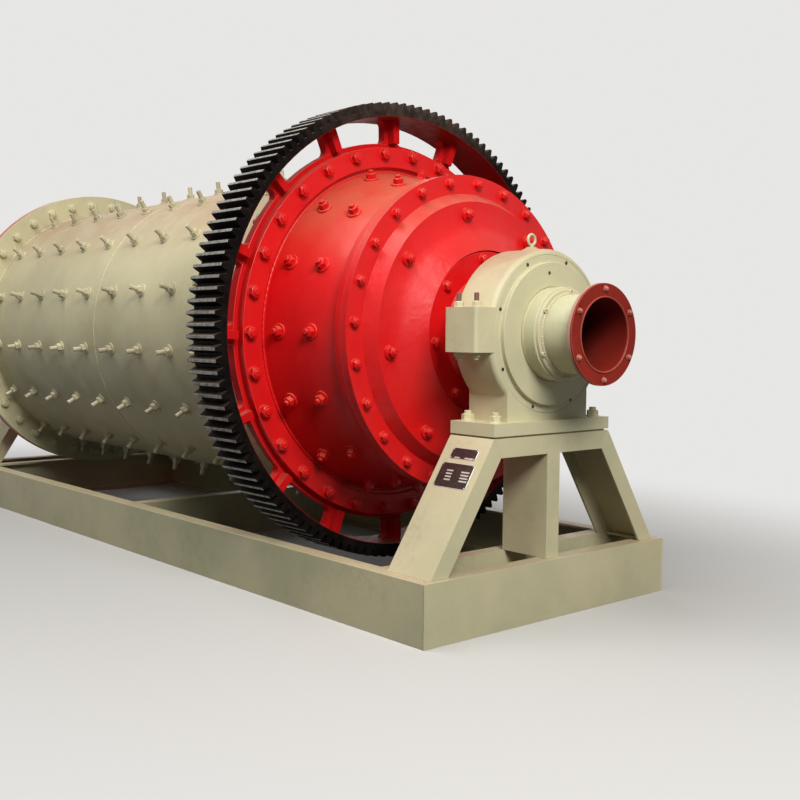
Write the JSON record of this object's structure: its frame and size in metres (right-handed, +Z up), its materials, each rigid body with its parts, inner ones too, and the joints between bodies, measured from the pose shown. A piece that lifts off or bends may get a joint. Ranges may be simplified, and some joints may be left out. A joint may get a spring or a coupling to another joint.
{
  "type": "ball mill",
  "caption": "Horizontal grinding drum with a spur girth gear, hollow trunnions in split pillow bearings, trapezoid stands and a channel base frame.",
  "frame": {"origin": "middle of the base frame's underside, below the middle of the drum", "axes": "+X along the drum axis towards the geared discharge end, +Z up"},
  "size_m": [5.28, 2.1598, 2.27],
  "materials": {
    "machine_paint": "satin grey-green machine enamel",
    "red_paint": "semi-gloss bright red enamel",
    "bare_gear_steel": "dark oiled cast steel with machined flanks",
    "red_oxide": "matt red oxide primer"
  },
  "bodies": {
    "base": {"side_beam_left": "machine_paint", "side_beam_right": "machine_paint", "end_beam_discharge": "machine_paint", "end_beam_feed": "machine_paint", "sill_beam_discharge": "machine_paint", "sill_beam_feed": "machine_paint", "middle_beam": "machine_paint", "stand_top_discharge": "machine_paint", "stand_left_leg_discharge": "machine_paint", "stand_right_leg_discharge": "machine_paint", "stand_post_discharge": "machine_paint", "stand_top_feed": "machine_paint", "stand_left_leg_feed": "machine_paint", "stand_right_leg_feed": "machine_paint", "stand_post_feed": "machine_paint", "bearing_base_discharge": "machine_paint", "bearing_cap_discharge": "machine_paint", "bearing_front_cover_discharge": "machine_paint", "bearing_back_cover_discharge": "machine_paint", "lifting_eye_discharge": "machine_paint", "bearing_base_feed": "machine_paint", "bearing_cap_feed": "machine_paint", "bearing_front_cover_feed": "machine_paint", "bearing_back_cover_feed": "machine_paint", "lifting_eye_feed": "machine_paint"},
    "drum": {"shell_strake_discharge": "machine_paint", "shell_strake_feed": "machine_paint", "shell_flange_gear": "red_paint", "shell_flange_feed": "machine_paint", "girth_gear": "bare_gear_steel", "gear_hub": "red_paint", "gear_spokes": "red_paint", "cone_section": "red_paint", "end_cover_discharge": "red_paint", "trunnion_flange_discharge": "red_paint", "trunnion_discharge": "red_paint", "nose_discharge": "machine_paint", "spout_discharge": "red_oxide", "end_cover_feed": "red_paint", "trunnion_flange_feed": "red_paint", "trunnion_feed": "red_paint", "nose_feed": "machine_paint", "spout_feed": "red_oxide"}
  },
  "joints": [
    {"name": "drum_spin", "type": "hinge", "parent": "base", "child": "drum", "pos_m": [0, 0, 1.19], "axis": [1, 0, 0], "continuous": true}
  ]
}
